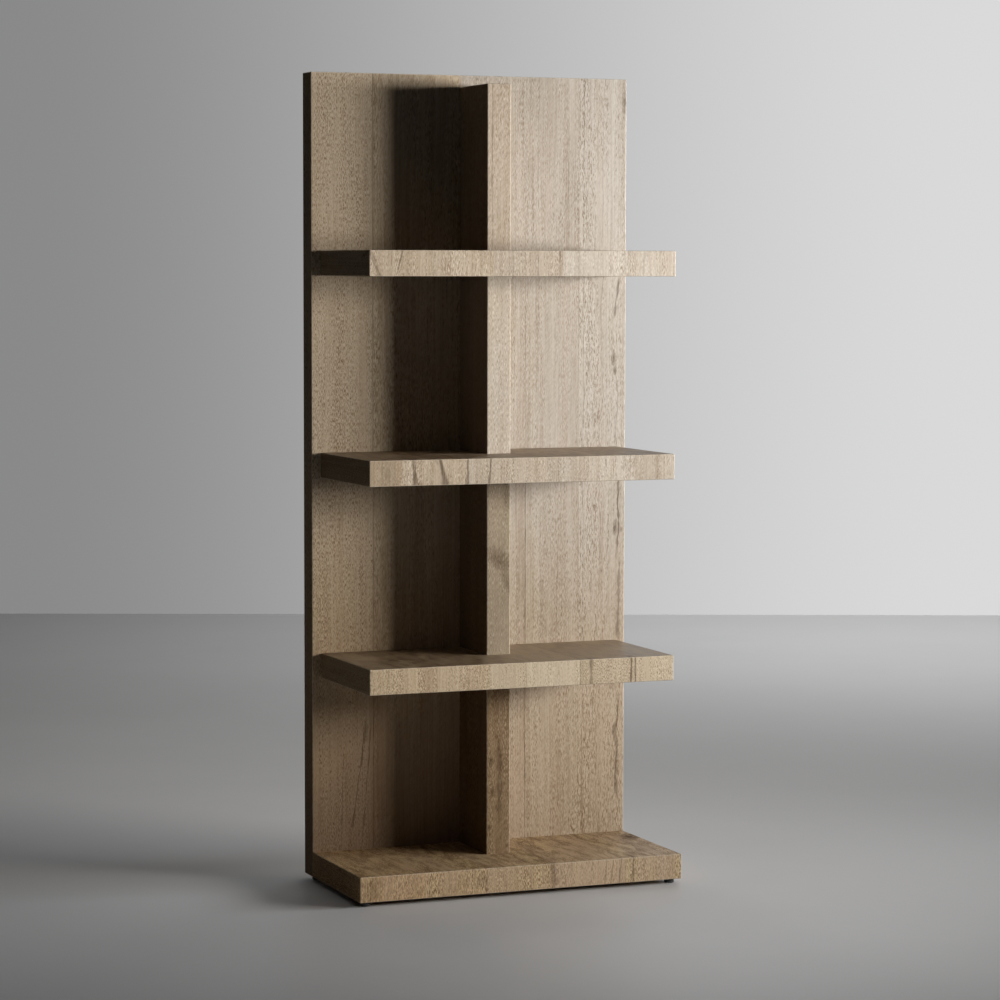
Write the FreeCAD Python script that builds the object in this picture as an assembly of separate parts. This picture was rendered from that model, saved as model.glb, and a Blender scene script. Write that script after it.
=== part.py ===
import FreeCAD, Part
import math
import os

# Free-standing bookcase: a thick back panel, a base and three shelves in front of it, and a narrow spine between them.
# Lengths are in millimetres. X runs along the shelves, -Y is the front and +Z is up.
# The origin is on the floor, under the middle of the part.

# Case
board_thickness = 63.5
bay_height = 444.5
panel_width = 864.0
shelf_depth = 360.0
shelf_end_inset = 25.4
spine_depth = 187.0
spine_top_drop = 30.0
skin_thickness = 12.0
rib_count = 5
shelf_names = ["base", "lower_shelf", "middle_shelf", "upper_shelf"]
spine_names = ["spine_1", "spine_2", "spine_3", "spine_4"]

# Levelling feet
foot_height = 12.0
foot_side_inset = 23.0
foot_front_inset = 26.0
foot_rear_inset = 31.0
pad_diameter = 25.0
pad_edge_radius = 1.5
pad_floor = 3.0
collar_height = 3.0
collar_across_flats = 13.0
stem_diameter = 8.0
stem_length = 36.0
neck_diameter = 7.0
stem_base_diameter = 12.0
stem_base_height = 2.0
bush_diameter = 11.0
bush_length = 28.0
bush_flange_diameter = 20.0
bush_flange_thickness = 1.5
stem_end_room = 3.0

# Connector bolts and their insert nuts
bolt_diameter = 8.0
bolt_head_diameter = 16.0
bolt_head_thickness = 3.0
bolt_head_recess = 0.5
bolt_key_across_flats = 5.0
bolt_key_depth = 4.0
nut_diameter = 12.0
nut_length = 25.0
bolt_end_room = 2.0
shelf_bolt_centre_offset = 120.0
shelf_bolt_end_inset = 100.0
spine_bolt_end_inset = 110.0

# Dowels
dowel_diameter = 10.0
dowel_depth_in_post = 30.0
dowel_web = 4.0

# Clearances
running_clearance = 0.05
pad_clearance = 0.3
bolt_hole_clearance = 0.25
bolt_head_clearance = 0.5
glue_clearance = 0.05
stem_hole_clearance = 0.5
cut_overrun = 1.0

# Places that follow from the sizes above
core_thickness = board_thickness - 2 * skin_thickness
level_step = bay_height + board_thickness
panel_bottom = foot_height
panel_top = panel_bottom + len(shelf_names) * level_step
panel_side = panel_width / 2
front = -(shelf_depth + board_thickness) / 2
rear = front + shelf_depth + board_thickness
panel_face = front + shelf_depth
spine_front = panel_face - spine_depth
spine_side = board_thickness / 2
spine_top = panel_top - spine_top_drop
core_side = core_thickness / 2

# The sides of a box: which axis each faces, and which end of that axis it is on
SIDES = {
    "left": ("x", "low"),
    "right": ("x", "high"),
    "front": ("y", "low"),
    "rear": ("y", "high"),
    "bottom": ("z", "low"),
    "top": ("z", "high"),
}


def block(low, high):
    """A plain batten between two corners."""
    lengths = [high[axis] - low[axis] for axis in range(3)]
    return Part.makeBox(lengths[0], lengths[1], lengths[2], FreeCAD.Vector(*low))


def rod(radius, start, direction, length):
    return Part.makeCylinder(radius, length, FreeCAD.Vector(*start), FreeCAD.Vector(*direction))


def hexagon(across_flats, centre, direction, length):
    """A six-sided prism that stands on its centre point."""
    corner_radius = across_flats / math.sqrt(3)
    prism = Part.makePolygon(
        [
            FreeCAD.Vector(
                corner_radius * math.cos(math.radians(60 * corner)),
                corner_radius * math.sin(math.radians(60 * corner)),
                0,
            )
            for corner in range(7)
        ]
    )
    prism = Part.Face(prism).extrude(FreeCAD.Vector(0, 0, length))
    turn = FreeCAD.Rotation(FreeCAD.Vector(0, 0, 1), FreeCAD.Vector(*direction))
    prism.Placement = FreeCAD.Placement(FreeCAD.Vector(*centre), turn)
    return prism


def side_of_box(side):
    """The number of the axis that a side faces, and its end of that axis."""
    axis, end = SIDES[side]
    return "xyz".index(axis), end


def mitred_board(low, high, side, mitred_sides):
    """The board on one side of a hollow box, one skin thick, cut at 45 degrees where it meets the boards named."""
    axis, end = side_of_box(side)
    first, second = [other for other in range(3) if other != axis]
    inner_low, inner_high = list(low), list(high)
    for name in mitred_sides:
        edge_axis, edge_end = side_of_box(name)
        if edge_end == "high":
            inner_high[edge_axis] -= skin_thickness
        else:
            inner_low[edge_axis] += skin_thickness
    outer_level = high[axis] if end == "high" else low[axis]
    inner_level = outer_level - skin_thickness if end == "high" else outer_level + skin_thickness

    def rectangle(lows, highs, level):
        corners = []
        for at_first, at_second in ((lows, lows), (highs, lows), (highs, highs), (lows, highs)):
            point = [0, 0, 0]
            point[axis] = level
            point[first] = at_first[first]
            point[second] = at_second[second]
            corners.append(FreeCAD.Vector(*point))
        return corners

    outer = rectangle(low, high, outer_level)
    inner = rectangle(inner_low, inner_high, inner_level)
    outlines = [outer, inner]
    for corner in range(4):
        following = (corner + 1) % 4
        outlines.append([outer[corner], outer[following], inner[following], inner[corner]])
    faces = [Part.Face(Part.makePolygon(outline + outline[:1])) for outline in outlines]
    solid = Part.Solid(Part.Shell(faces))
    if solid.Volume < 0:
        solid.reverse()
    return solid


def drilled(solids, holes):
    """The solids with every hole cut that reaches them."""
    cut = []
    for solid in solids:
        reaching = [hole for hole in holes if hole.BoundBox.intersect(solid.BoundBox)]
        cut += solid.cut(reaching).Solids if reaching else [solid]
    return cut


def write(node, solids):
    shape = solids[0] if len(solids) == 1 else Part.makeCompound(solids)
    shape.exportStep("parts/" + node + ".step")


def level_bottom(level):
    """The underside of the base, level 0, or of a shelf above it."""
    return panel_bottom + level * level_step


def level_middle(level):
    return level_bottom(level) + board_thickness / 2


def shelf_half_width(level):
    """The base is as wide as the panel, and the shelves stop short of its edges."""
    return panel_side if level == 0 else panel_side - shelf_end_inset


def post_span(bay):
    """The bottom and top of the spine's post in a bay."""
    bottom = level_bottom(bay) + board_thickness
    top = spine_top if bay == len(spine_names) - 1 else bottom + bay_height
    return bottom, top


def feet():
    """Each levelling foot's name and centre."""
    places = []
    for side, sign in (("left", -1), ("right", 1)):
        x = sign * (panel_side - foot_side_inset)
        places.append(("front_" + side, x, front + foot_front_inset))
        places.append(("rear_" + side, x, rear - foot_rear_inset))
    return places


def bolt_places():
    """Where each connector bolt goes through the panel: along every shelf, and up the spine."""
    places = []
    for level in range(len(shelf_names)):
        outer = shelf_half_width(level) - shelf_bolt_end_inset
        for x in (-outer, -shelf_bolt_centre_offset, shelf_bolt_centre_offset, outer):
            places.append((x, level_middle(level)))
    for bay in range(len(spine_names)):
        bottom, top = post_span(bay)
        places.append((0, bottom + spine_bolt_end_inset))
        places.append((0, top - spine_bolt_end_inset))
    return places


# Connector bolts: each head sits in the panel's rear skin, and the thread ends in a nut let into a shelf or a post
bolt_seat = rear - bolt_head_recess - bolt_head_thickness
bolt_tip = panel_face - nut_length
bolts = []
nuts = []
bolt_holes = []
nut_holes = []
for x, z in bolt_places():
    bolt = rod(bolt_diameter / 2, (x, bolt_tip, z), (0, 1, 0), bolt_seat - bolt_tip)
    bolt = bolt.fuse(rod(bolt_head_diameter / 2, (x, bolt_seat, z), (0, 1, 0), bolt_head_thickness))
    key_start = (x, bolt_seat + bolt_head_thickness - bolt_key_depth, z)
    bolt = bolt.cut(hexagon(bolt_key_across_flats, key_start, (0, 1, 0), bolt_key_depth + cut_overrun))
    bolts += bolt.removeSplitter().Solids

    nut = rod(nut_diameter / 2, (x, bolt_tip, z), (0, 1, 0), nut_length)
    bore = rod(
        bolt_diameter / 2 + running_clearance,
        (x, bolt_tip - cut_overrun, z),
        (0, 1, 0),
        nut_length + 2 * cut_overrun,
    )
    nuts += nut.cut(bore).Solids

    bolt_holes.append(
        rod(
            bolt_diameter / 2 + bolt_hole_clearance,
            (x, panel_face - cut_overrun, z),
            (0, 1, 0),
            board_thickness + 2 * cut_overrun,
        )
    )
    bolt_holes.append(
        rod(
            bolt_head_diameter / 2 + bolt_head_clearance,
            (x, bolt_seat, z),
            (0, 1, 0),
            bolt_head_thickness + bolt_head_recess + cut_overrun,
        )
    )
    nut_holes.append(
        rod(
            nut_diameter / 2 + glue_clearance,
            (x, bolt_tip - bolt_end_room, z),
            (0, 1, 0),
            nut_length + bolt_end_room + cut_overrun,
        )
    )

# Dowels: two at each end of a post, into the frame of the board that it stands on or carries
dowel_depth_in_board = skin_thickness + (core_thickness - dowel_web) / 2
dowel_length = dowel_depth_in_board + dowel_depth_in_post
post_batten_places = [
    (panel_face - core_thickness, panel_face),
    (spine_front + skin_thickness, spine_front + skin_thickness + core_thickness),
]
dowels = []
dowel_holes = []
for bay in range(len(spine_names)):
    bottom, top = post_span(bay)
    starts = [bottom - dowel_depth_in_board]
    if bay + 1 < len(shelf_names):
        starts.append(top - dowel_depth_in_post)
    for low_y, high_y in post_batten_places:
        for start in starts:
            centre = (0, (low_y + high_y) / 2, start)
            dowels.append(rod(dowel_diameter / 2, centre, (0, 0, 1), dowel_length))
            dowel_holes.append(rod(dowel_diameter / 2 + glue_clearance, centre, (0, 0, 1), dowel_length))

# Levelling feet: a bush let into the underside, a stem that turns in it, and a pad that the stem turns on
neck_bottom = pad_floor + stem_base_height
collar_bottom = foot_height - collar_height
pad_top = collar_bottom - pad_clearance
bushes = []
foot_holes = []
foot_pieces = {}
for name, x, y in feet():
    bush = rod(bush_diameter / 2, (x, y, panel_bottom), (0, 0, 1), bush_length)
    bush = bush.fuse(rod(bush_flange_diameter / 2, (x, y, panel_bottom), (0, 0, 1), bush_flange_thickness))
    bore = rod(
        stem_diameter / 2 + running_clearance,
        (x, y, panel_bottom - cut_overrun),
        (0, 0, 1),
        bush_length + 2 * cut_overrun,
    )
    bushes += bush.cut(bore).removeSplitter().Solids

    foot_holes.append(
        rod(
            bush_flange_diameter / 2 + glue_clearance,
            (x, y, panel_bottom - cut_overrun),
            (0, 0, 1),
            bush_flange_thickness + cut_overrun,
        )
    )
    foot_holes.append(rod(bush_diameter / 2 + glue_clearance, (x, y, panel_bottom), (0, 0, 1), bush_length))
    foot_holes.append(
        rod(
            stem_diameter / 2 + stem_hole_clearance,
            (x, y, panel_bottom),
            (0, 0, 1),
            max(stem_length, bush_length) + stem_end_room,
        )
    )

    stem = rod(stem_base_diameter / 2, (x, y, pad_floor), (0, 0, 1), stem_base_height)
    stem = stem.fuse(
        [
            rod(neck_diameter / 2, (x, y, neck_bottom), (0, 0, 1), collar_bottom - neck_bottom),
            hexagon(collar_across_flats, (x, y, collar_bottom), (0, 0, 1), collar_height),
            rod(stem_diameter / 2, (x, y, panel_bottom), (0, 0, 1), stem_length),
        ]
    )

    pad = rod(pad_diameter / 2, (x, y, 0), (0, 0, 1), pad_top)
    pad = pad.makeFillet(pad_edge_radius, [edge for edge in pad.Edges if len(edge.Vertexes) == 1])
    socket = rod(
        stem_base_diameter / 2 + pad_clearance,
        (x, y, pad_floor),
        (0, 0, 1),
        stem_base_height + pad_clearance,
    )
    neck_hole = rod(neck_diameter / 2 + running_clearance, (x, y, pad_floor), (0, 0, 1), pad_top)
    pad = pad.cut([socket, neck_hole])
    foot_pieces[name] = (pad.Solids, stem.removeSplitter().Solids)

os.makedirs("parts", exist_ok=True)

# Back panel
panel_low = (-panel_side, panel_face, panel_bottom)
panel_high = (panel_side, rear, panel_top)
panel_boards = {
    "front_skin": ("front", ["left", "right", "bottom", "top"]),
    "rear_skin": ("rear", ["left", "right", "bottom", "top"]),
    "left_lipping": ("left", ["front", "rear", "bottom", "top"]),
    "right_lipping": ("right", ["front", "rear", "bottom", "top"]),
    "bottom_lipping": ("bottom", ["left", "right", "front", "rear"]),
    "top_lipping": ("top", ["left", "right", "front", "rear"]),
}
for board, (side, mitred_sides) in panel_boards.items():
    solid = mitred_board(panel_low, panel_high, side, mitred_sides)
    write("back_panel_" + board, drilled([solid], bolt_holes + foot_holes))

core_front = panel_face + skin_thickness
core_rear = rear - skin_thickness
core_bottom = panel_bottom + skin_thickness
core_top = panel_top - skin_thickness
outer_stile_middle = panel_side - skin_thickness - core_side
stiles = [
    block((middle - core_side, core_front, core_bottom), (middle + core_side, core_rear, core_top))
    for middle in (-outer_stile_middle, 0, outer_stile_middle)
]
write("back_panel_stiles", drilled(stiles, bolt_holes + foot_holes))

rail_middles = [level_middle(level) for level in range(len(shelf_names))] + [core_top - core_side]
rail_start = core_side
rail_end = outer_stile_middle - core_side
rails = [
    block((low_x, core_front, middle - core_side), (high_x, core_rear, middle + core_side))
    for middle in rail_middles
    for low_x, high_x in ((-rail_end, -rail_start), (rail_start, rail_end))
]
write("back_panel_rails", drilled(rails, bolt_holes))

# Base and shelves
shelf_boards = {
    "top_skin": ("top", ["left", "right", "front"]),
    "underside_skin": ("bottom", ["left", "right", "front"]),
    "front_lipping": ("front", ["left", "right", "bottom", "top"]),
    "left_lipping": ("left", ["front", "bottom", "top"]),
    "right_lipping": ("right", ["front", "bottom", "top"]),
}
for level, shelf in enumerate(shelf_names):
    half_width = shelf_half_width(level)
    low = (-half_width, front, level_bottom(level))
    high = (half_width, panel_face, level_bottom(level) + board_thickness)
    for board, (side, mitred_sides) in shelf_boards.items():
        solid = mitred_board(low, high, side, mitred_sides)
        write(shelf + "_" + board, drilled([solid], dowel_holes + foot_holes))

    rib_bottom = low[2] + skin_thickness
    rib_top = high[2] - skin_thickness
    rail_front = panel_face - core_thickness
    inner_side = half_width - skin_thickness
    frame = [block((-inner_side, rail_front, rib_bottom), (inner_side, panel_face, rib_top))]
    rib_spread = 2 * (inner_side - core_side)
    for rib in range(rib_count):
        middle = -rib_spread / 2 + rib_spread * rib / (rib_count - 1)
        frame.append(
            block(
                (middle - core_side, front + skin_thickness, rib_bottom),
                (middle + core_side, rail_front, rib_top),
            )
        )
    write(shelf + "_core_frame", drilled(frame, dowel_holes + nut_holes + foot_holes))

# Spine
post_boards = {
    "left_cheek": ("left", ["front"]),
    "right_cheek": ("right", ["front"]),
    "front_lipping": ("front", ["left", "right"]),
}
battens = []
for bay, post in enumerate(spine_names):
    bottom, top = post_span(bay)
    low = (-spine_side, spine_front, bottom)
    high = (spine_side, panel_face, top)
    has_cap = bay == len(spine_names) - 1
    for board, (side, mitred_sides) in post_boards.items():
        write(post + "_" + board, [mitred_board(low, high, side, mitred_sides + ["top"] * has_cap)])
    if has_cap:
        write("spine_cap", [mitred_board(low, high, "top", ["left", "right", "front"])])
    batten_top = top - skin_thickness if has_cap else top
    for low_y, high_y in post_batten_places:
        battens.append(block((-core_side, low_y, bottom), (core_side, high_y, batten_top)))
write("spine_battens", drilled(battens, dowel_holes + nut_holes))

# Feet and fasteners
for name, (pad, stem) in foot_pieces.items():
    write(name + "_foot_pad", pad)
    write(name + "_foot_stem", stem)
write("foot_bushes", bushes)
write("connector_bolts", bolts)
write("insert_nuts", nuts)
write("dowels", dowels)
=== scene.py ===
import math

import bmesh
import bpy
from mathutils import Matrix, Vector


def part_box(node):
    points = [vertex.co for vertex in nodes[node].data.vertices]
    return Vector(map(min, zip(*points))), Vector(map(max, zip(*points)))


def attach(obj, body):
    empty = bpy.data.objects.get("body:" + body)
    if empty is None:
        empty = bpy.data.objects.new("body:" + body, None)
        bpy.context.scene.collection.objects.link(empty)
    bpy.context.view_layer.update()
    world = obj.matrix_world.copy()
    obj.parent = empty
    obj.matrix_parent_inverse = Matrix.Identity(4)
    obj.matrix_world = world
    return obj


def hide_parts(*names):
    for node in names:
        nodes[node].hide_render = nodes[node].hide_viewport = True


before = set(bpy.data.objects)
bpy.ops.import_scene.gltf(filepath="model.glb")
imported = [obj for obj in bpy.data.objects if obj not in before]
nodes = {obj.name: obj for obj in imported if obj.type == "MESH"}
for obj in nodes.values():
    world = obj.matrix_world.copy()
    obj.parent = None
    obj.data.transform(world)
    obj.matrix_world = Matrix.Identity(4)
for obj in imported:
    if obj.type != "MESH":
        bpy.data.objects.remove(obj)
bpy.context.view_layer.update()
scene = bpy.context.scene

# Boards, in metres
SKIN = 0.012
ARRIS = 0.0025
ARRIS_STEPS = 4
ROUND_PROFILE = 0.5
SMOOTH_ANGLE = math.radians(35)
JOINT_HALF_WIDTH = 0.0003
JOINT_DEPTH = 0.0003
HAIR = 0.000001
JOINT_REACH = 10 * HAIR

# Fastener holes, as in the CAD
BOLT_HOLE = 0.00425
BOLT_HEAD_HOLE = 0.0085
BOLT_HEAD_DEPTH = 0.0035
SHELF_BOLT_FROM_CENTRE = 0.120
SHELF_BOLT_FROM_END = 0.100
SPINE_BOLT_FROM_END = 0.110
DOWEL_HOLE = 0.00505
BUSH_HOLE = 0.00555
FLANGE_HOLE = 0.01005
FLANGE_DEPTH = 0.0015
THROUGH = 1.5 * SKIN
BIT_OVERRUN = 0.001
BIT_SIDES = 32

# Each side's axis and the way that it faces
SIDES = {
    "left": (0, -1),
    "right": (0, 1),
    "front": (1, -1),
    "rear": (1, 1),
    "bottom": (2, -1),
    "top": (2, 1),
}


# Modelling


def work_on(piece):
    bpy.ops.object.select_all(action="DESELECT")
    piece.select_set(True)
    bpy.context.view_layer.objects.active = piece


def start_editing(piece):
    work_on(piece)
    bpy.ops.object.mode_set(mode="EDIT")


def stop_editing():
    bpy.ops.object.mode_set(mode="OBJECT")


def pick(piece, kind, test):
    """Selects the vertices or edges that pass a test, in edit mode."""
    bpy.ops.mesh.select_mode(type={"verts": "VERT", "edges": "EDGE"}[kind])
    bpy.ops.mesh.select_all(action="DESELECT")
    shape = bmesh.from_edit_mesh(piece.data)
    for part in getattr(shape, kind):
        part.select_set(test(part))
    bmesh.update_edit_mesh(piece.data)


def outward(side):
    """The direction in which a side faces."""
    axis, sign = SIDES[side]
    direction = Vector((0, 0, 0))
    direction[axis] = sign
    return direction


def depth_under(side, point, box):
    """How far a point lies inside one side of a box."""
    axis, sign = SIDES[side]
    return box[1][axis] - point[axis] if sign > 0 else point[axis] - box[0][axis]


def point_on(sides, box):
    """A point of a box that lies on all the given sides."""
    point = box[1].copy()
    for side in sides:
        axis, sign = SIDES[side]
        point[axis] = box[1][axis] if sign > 0 else box[0][axis]
    return point


def block(name, box):
    """A plain block that fills a box."""
    middle = (box[0] + box[1]) / 2
    bpy.ops.object.select_all(action="DESELECT")
    bpy.ops.mesh.primitive_cube_add(size=1, location=middle)
    piece = bpy.context.object
    piece.name = name
    piece.data.name = name
    piece.scale = box[1] - box[0]
    bpy.ops.object.transform_apply(location=True, rotation=True, scale=True)
    return piece


def ease_arrises(piece, box, exposed):
    """Rounds the long edges between two exposed sides of a block."""

    def between_exposed_sides(edge):
        middle = (edge.verts[0].co + edge.verts[1].co) / 2
        touching = [side for side in SIDES if abs(depth_under(side, middle, box)) < HAIR]
        return all(side in exposed for side in touching)

    start_editing(piece)
    pick(piece, "edges", between_exposed_sides)
    bpy.ops.mesh.bevel(offset=ARRIS, segments=ARRIS_STEPS, profile=ROUND_PROFILE, affect="EDGES")
    stop_editing()


def score_joints(piece, box, joints, exposed):
    """Runs a fine groove round a block at each glue joint between two staves."""
    butts = [side for side in SIDES if side not in exposed]
    start_editing(piece)
    for place in joints:
        for shift in (-JOINT_HALF_WIDTH, 0, JOINT_HALF_WIDTH):
            bpy.ops.mesh.select_all(action="SELECT")
            bpy.ops.mesh.bisect(plane_co=(place + shift, 0, 0), plane_no=(1, 0, 0), threshold=HAIR)
        pick(
            piece,
            "verts",
            lambda vert: abs(vert.co.x - place) < HAIR
            and all(depth_under(side, vert.co, box) > HAIR for side in butts),
        )
        bpy.ops.transform.shrink_fatten(value=-JOINT_DEPTH)
    stop_editing()


def cut_away(piece, point, direction):
    """Saws a piece through a point, drops the part that the direction points to and closes the cut."""
    start_editing(piece)
    bpy.ops.mesh.select_all(action="SELECT")
    bpy.ops.mesh.bisect(
        plane_co=point,
        plane_no=direction,
        use_fill=True,
        clear_outer=True,
        threshold=HAIR,
    )
    stop_editing()


def mitred_board(name, whole, box, side, mitred_sides):
    """The board on one side of a hollow member, one skin thick and mitred along the boards that it meets."""
    board = whole.copy()
    board.data = whole.data.copy()
    board.name = name
    board.data.name = name
    scene.collection.objects.link(board)
    inward = -outward(side)
    cut_away(board, point_on([side], box) + inward * SKIN, inward)
    for other in mitred_sides:
        cut_away(board, point_on([side, other], box), (inward + outward(other)).normalized())
    return board


def drill(piece, places, towards, radius, depth):
    """Drills round holes of one size, each from a point on the surface towards one side."""
    direction = outward(towards)
    turn = direction.to_track_quat("Z", "Y").to_euler()
    bpy.ops.object.select_all(action="DESELECT")
    bits = []
    for place in places:
        bpy.ops.mesh.primitive_cylinder_add(
            vertices=BIT_SIDES,
            radius=radius,
            depth=depth + BIT_OVERRUN,
            location=Vector(place) + direction * (depth - BIT_OVERRUN) / 2,
            rotation=turn,
        )
        bits.append(bpy.context.object)
    work_on(bits[0])
    for bit in bits:
        bit.select_set(True)
    bpy.ops.object.join()
    cutter = bpy.context.object
    work_on(piece)
    bore = piece.modifiers.new("bore", "BOOLEAN")
    bore.operation = "DIFFERENCE"
    bore.solver = "EXACT"
    bore.object = cutter
    bpy.ops.object.modifier_apply(modifier=bore.name)
    bpy.data.objects.remove(cutter)


def smooth_arrises(piece):
    """Shades the rounded arrises smooth and keeps the broad faces flat."""
    work_on(piece)
    bpy.ops.object.shade_smooth_by_angle(angle=SMOOTH_ANGLE)
    weights = piece.modifiers.new("weights", "WEIGHTED_NORMAL")
    weights.keep_sharp = True
    bpy.ops.object.modifier_apply(modifier=weights.name)


# Grain maps, which give a board's surface in metres across and along the grain, unrolled over the arrises


def shelf_grain(point, board, box):
    across, along = point.x, point.y + point.z - box[1].z
    if board == "underside_skin":
        along = 2 * box[0].y + point.z - box[1].z - point.y
    elif board == "left_lipping":
        across, along = point.x + point.z - box[1].z, point.y
    elif board == "right_lipping":
        across, along = point.x + box[1].z - point.z, point.y
    return across, along


def panel_grain(point, board, box):
    across, along = point.x, point.z
    into = point.y - box[0].y
    if board == "left_lipping":
        across = point.x - into
    elif board == "right_lipping":
        across = point.x + into
    elif board == "rear_skin":
        across = 2 * box[1].x + into - point.x
    elif board == "top_lipping":
        along = point.z + into
    elif board == "bottom_lipping":
        along = point.z - into
    return across, along


# Steps in the grain from stave to stave and from front to rear, and the rear's painted shade warmth
STAVE_STEP = 1.7
REAR_STEP = 0.6
REAR_SHADE_WARMTH = 0.4


def lay_grain(piece, board, box, grain, joints, tones, shade_warmths, seed, exposed):
    """Gives a board its grain map, and marks its staves, their tones and painted shade warmth, the joints
    and the worn arrises with their painted highlight.
    """
    mesh = piece.data
    grain_map = mesh.uv_layers.new(name="Grain")
    mesh.uv_layers.active = grain_map
    stave_mark = mesh.attributes.new("stave", "FLOAT", "FACE")
    tone_mark = mesh.attributes.new("tone", "FLOAT", "FACE")
    shade_warmth_mark = mesh.attributes.new("shade_warmth", "FLOAT", "FACE")
    wear_mark = mesh.attributes.new("arris", "FLOAT", "POINT")
    joint_mark = mesh.attributes.new("joint", "FLOAT", "POINT")
    rear = board == "rear_skin"
    for face in mesh.polygons:
        for loop in face.loop_indices:
            point = mesh.vertices[mesh.loops[loop].vertex_index].co
            grain_map.data[loop].uv = grain(point, board, box)
        stave = sum(face.center.x > joint for joint in joints)
        stave_mark.data[face.index].value = seed + STAVE_STEP * stave + REAR_STEP * rear
        tone_mark.data[face.index].value = tones[stave]
        shade_warmth_mark.data[face.index].value = REAR_SHADE_WARMTH if rear else shade_warmths[stave]
    for vert in mesh.vertices:
        depths = sorted(depth_under(side, vert.co, box) for side in exposed)
        wear_mark.data[vert.index].value = max(0.0, 1 - depths[1] / ARRIS)
        at_joint = any(abs(vert.co.x - joint) < JOINT_REACH for joint in joints)
        joint_mark.data[vert.index].value = 1.0 if at_joint and depths[0] < SKIN / 2 else 0.0


# Shader building


def feed(tree, socket, value):
    """Links an input to another node's output, or sets it to a plain value."""
    if isinstance(value, bpy.types.NodeSocket):
        tree.links.new(value, socket)
    else:
        socket.default_value = value


def put(tree, kind, inputs=None, **options):
    """Adds a node, sets its options and feeds its inputs, which are given by name or number."""
    made = tree.nodes.new("ShaderNode" + kind)
    for option, value in options.items():
        setattr(made, option, value)
    for name, value in (inputs or {}).items():
        feed(tree, made.inputs[name], value)
    return made


def sum_up(tree, operation, *terms):
    """A Math node, whose terms are numbers or sockets."""
    return put(tree, "Math", dict(enumerate(terms)), operation=operation).outputs[0]


def vector_sum(tree, operation, first, second):
    return put(tree, "VectorMath", {0: first, 1: second}, operation=operation).outputs[0]


def ease(tree, value, start, end, low=0.0, high=1.0):
    """A value led smoothly from one level to another between a start and an end."""
    span = {"Value": value, "From Min": start, "From Max": end, "To Min": low, "To Max": high}
    return put(tree, "MapRange", span, interpolation_type="SMOOTHSTEP").outputs["Result"]


def mix(tree, factor, first, second, blend="MIX"):
    """Two colours mixed, or blended in another way."""
    colours = {0: factor, 6: first, 7: second}
    return put(tree, "Mix", colours, data_type="RGBA", blend_type=blend).outputs[2]


def tinted(tree, skin, tint):
    return mix(tree, 1.0, skin, tint, "MULTIPLY")


def mark(tree, name):
    """What lay_grain marked on a board under this name."""
    return put(tree, "Attribute", attribute_name=name).outputs["Fac"]


def new_group(name, inputs, outputs):
    """A node group with named sockets: a number makes a value socket, and three numbers a vector socket."""
    tree = bpy.data.node_groups.new(name, "ShaderNodeTree")
    for socket, default in inputs.items():
        kind = "NodeSocketFloat" if isinstance(default, float) else "NodeSocketVector"
        made = tree.interface.new_socket(name=socket, in_out="INPUT", socket_type=kind)
        made.default_value = default
    for socket in outputs:
        tree.interface.new_socket(name=socket, in_out="OUTPUT", socket_type="NodeSocketFloat")
    start = tree.nodes.new("NodeGroupInput")
    end = tree.nodes.new("NodeGroupOutput")
    return tree, start.outputs, end.inputs


def use_group(tree, group, values):
    return put(tree, "Group", values, node_tree=group).outputs


def new_material(name):
    material = bpy.data.materials.new(name)
    material.use_nodes = True
    tree = material.node_tree
    return material, tree, tree.nodes["Principled BSDF"]


# Noises of the wood: grains to the metre across and along it, detail, roughness, and the stave's weight
NOISES = {
    "drift": (3.0, 1.6, 2.0, 0.5, 11.3),
    "ripple": (40.0, 14.0, 1.0, 0.5, 11.3),
    "bands": (26.0, 0.7, 2.0, 0.55, 7.1),
    "streaks": (210.0, 3.2, 3.0, 0.6, 5.3),
    "fibres": (900.0, 16.0, 2.0, 0.6, 3.9),
    "patches": (9.0, 2.4, 2.0, 0.5, 2.3),
    "curl": (230.0, 46.0, 1.0, 0.5, 4.7),
    "stipple": (330.0, 150.0, 2.0, 0.7, 5.9),
    "smudges": (45.0, 14.0, 2.0, 0.6, 10.9),
    "crowding": (30.0, 2.0, 1.0, 0.5, 9.7),
    "lines": (560.0, 7.0, 1.0, 0.5, 5.7),
    "dashes": (680.0, 100.0, 1.0, 0.5, 6.1),
    "combing": (2200.0, 30.0, 1.0, 0.5, 13.1),
    "long pores": (330.0, 20.0, 1.0, 0.5, 8.3),
    "wander": (0.6, 7.0, 3.0, 0.6, 4.1),
    "swell": (2.0, 26.0, 2.0, 0.6, 12.7),
    "ragged edges": (120.0, 55.0, 3.0, 0.6, 6.7),
    "rubbing_and_highlight": (60.0, 60.0, 3.0, 0.6, 11.3),
}

# Masks of the wood: where each starts and ends in what it is drawn from, and its levels there
MASKS = {
    "rows": (0.25, 0.75, 0.15, 1.6),
    "combing": (0.30, 0.70, 0.0, 2.0),
    "pores": (0.55, 0.80, 0.0, 1.0),
    "long pores": (0.58, 0.80, 0.0, 1.0),
    "swell": (0.3, 0.7, 0.35, 1.5),
    "breaks": (0.3, 0.55, 0.45, 1.0),
    "vein sides": (0.25, 1.2, 1.0, 0.0),
    "vein ends": (0.6, 1.0, 1.0, 0.0),
    "knot": (0.35, 1.0, 1.0, 0.0),
    "rubbing_and_highlight": (0.35, 0.65, 0.4, 1.0),
    "warm patches": (0.2, 0.9, 0.0, 1.0),
    "yellowed patches": (-0.3, 0.45, 1.0, 0.0),
}

# How far the grain sways, in metres, and the angle at which its curl lies
DRIFT_SWAY = 0.016
RIPPLE_SWAY = 0.0022
CURL_ANGLE = math.radians(38)

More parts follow.
